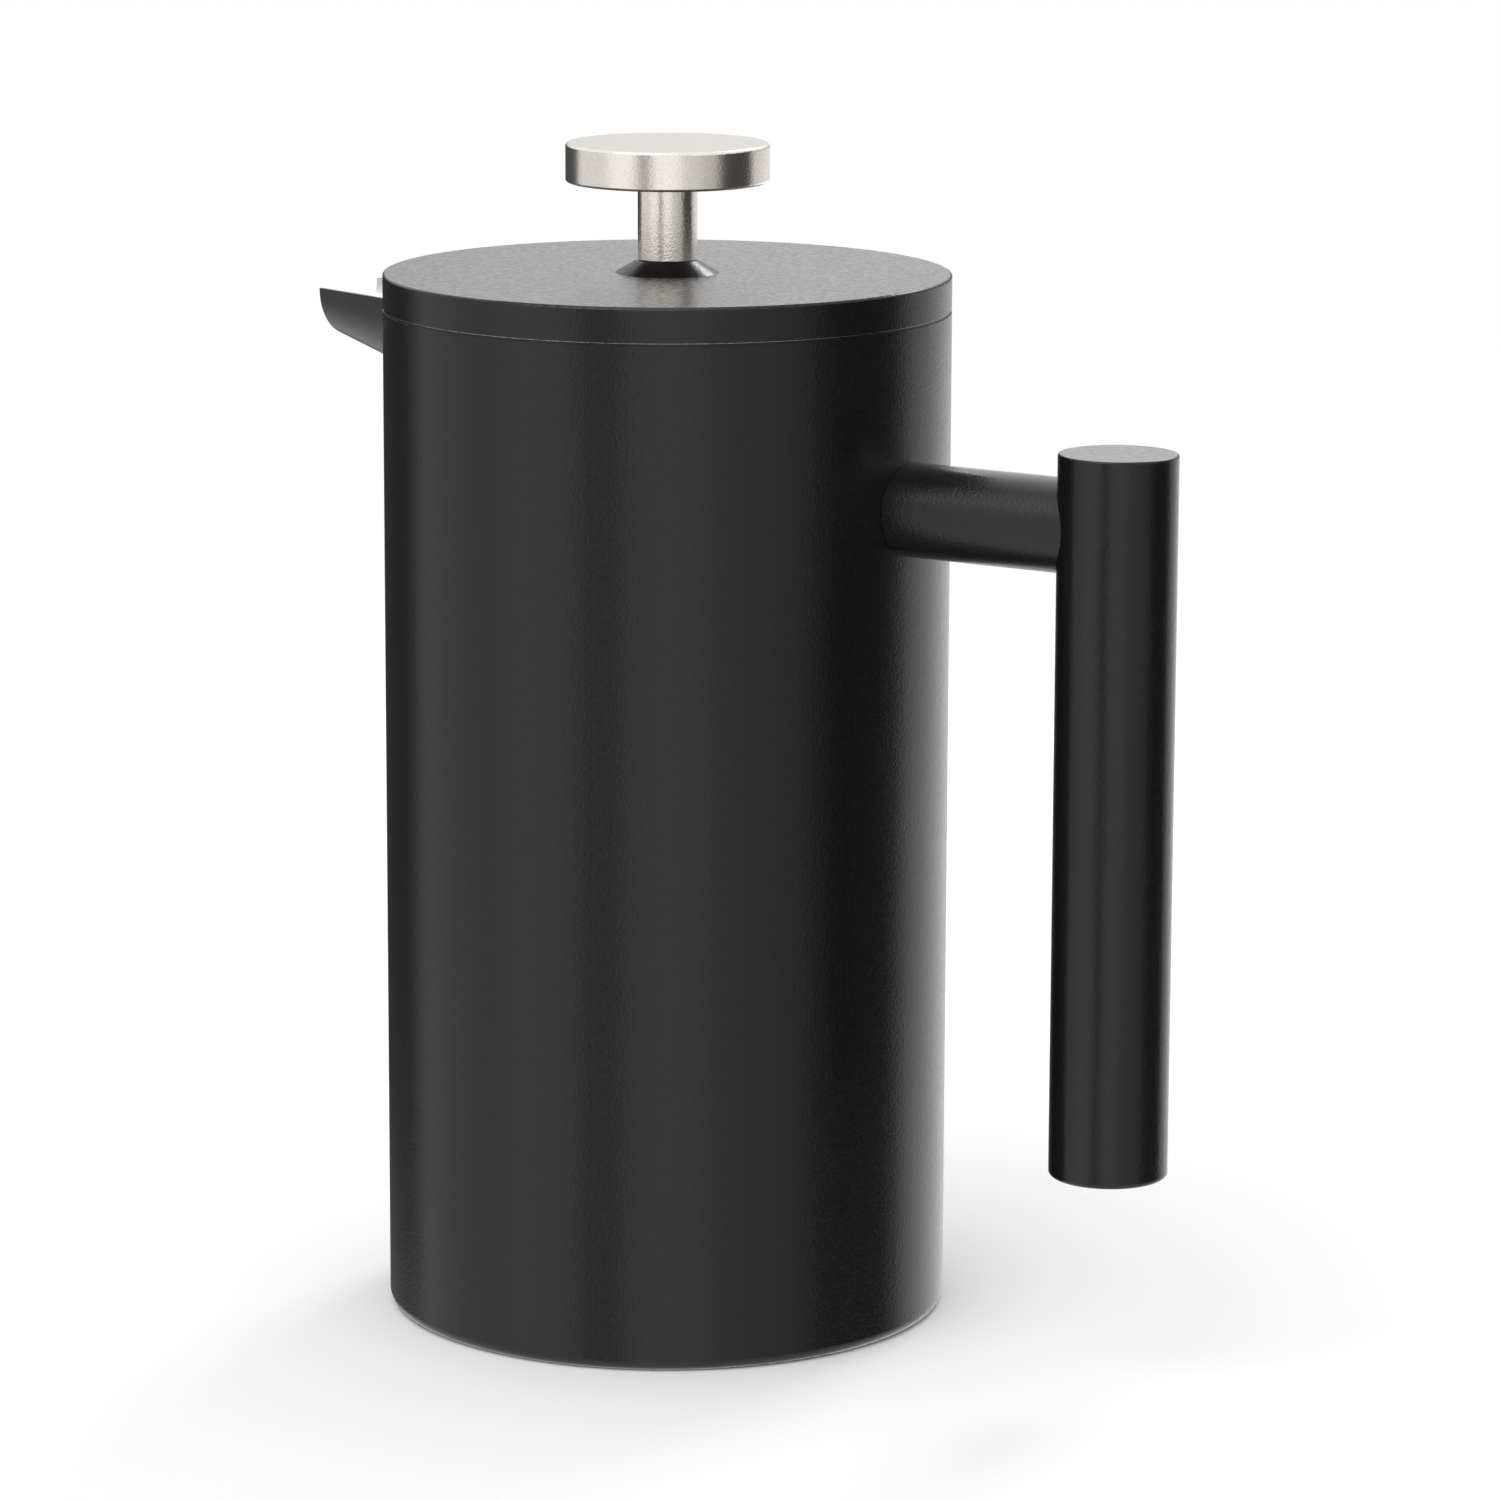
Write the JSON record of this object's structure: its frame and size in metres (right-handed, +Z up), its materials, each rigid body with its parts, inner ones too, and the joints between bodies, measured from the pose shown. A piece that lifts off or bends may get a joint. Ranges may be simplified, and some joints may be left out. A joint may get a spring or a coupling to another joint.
{
  "type": "french press",
  "caption": "Double-walled steel coffee press with a lift-off lid, a sliding plunger with a mesh filter, a rim spout and a tubular side handle.",
  "frame": {"origin": "centre of the flat base, on the pot's axis, where it stands on a table", "axes": "+Z up along the pot's axis, +X towards the handle, -X towards the spout"},
  "size_m": [0.1793, 0.105, 0.2189],
  "materials": {
    "black_coat": "satin black powder coat with a fine grain",
    "pressed_steel": "satin pressed stainless sheet",
    "satin_steel": "fine brushed stainless, slightly warm",
    "bright_steel": "bright machined stainless",
    "spring_steel": "drawn stainless wire",
    "wire_mesh": "fine woven stainless wire",
    "nylon": "moulded black nylon"
  },
  "bodies": {
    "pot": {"outer_shell": "black_coat", "inner_liner": "pressed_steel", "base_plate": "pressed_steel", "spout": "black_coat", "handle_arm": "black_coat", "handle_grip": "black_coat", "grip_top_cap": "black_coat", "grip_bottom_cap": "black_coat"},
    "guide_bush": {"guide_bush": "nylon"},
    "lid": {"lid_cap": "black_coat", "lid_plate": "pressed_steel", "lid_skirt": "pressed_steel", "lid_spacer": "pressed_steel", "lid_collar": "black_coat", "collar_nut": "bright_steel"},
    "plunger": {"knob": "satin_steel", "knob_stem": "satin_steel", "plunger_rod": "satin_steel", "lock_nut": "bright_steel", "spring_plate": "pressed_steel", "edge_spring": "spring_steel", "filter_screen": "wire_mesh", "screen_rim": "pressed_steel", "cross_plate": "pressed_steel", "hub_nut": "bright_steel"}
  },
  "joints": [
    {"name": "lid_lift", "type": "slide", "parent": "pot", "child": "guide_bush", "axis": [0, 0, 1], "range_m": [0, 0.18]},
    {"name": "lid_turn", "type": "hinge", "parent": "guide_bush", "child": "lid", "pos_m": [0, 0, 0.1887], "axis": [0, 0, 1], "continuous": true},
    {"name": "plunger_slide", "type": "slide", "parent": "guide_bush", "child": "plunger", "axis": [0, 0, 1], "range_m": [0, 0.14]}
  ]
}
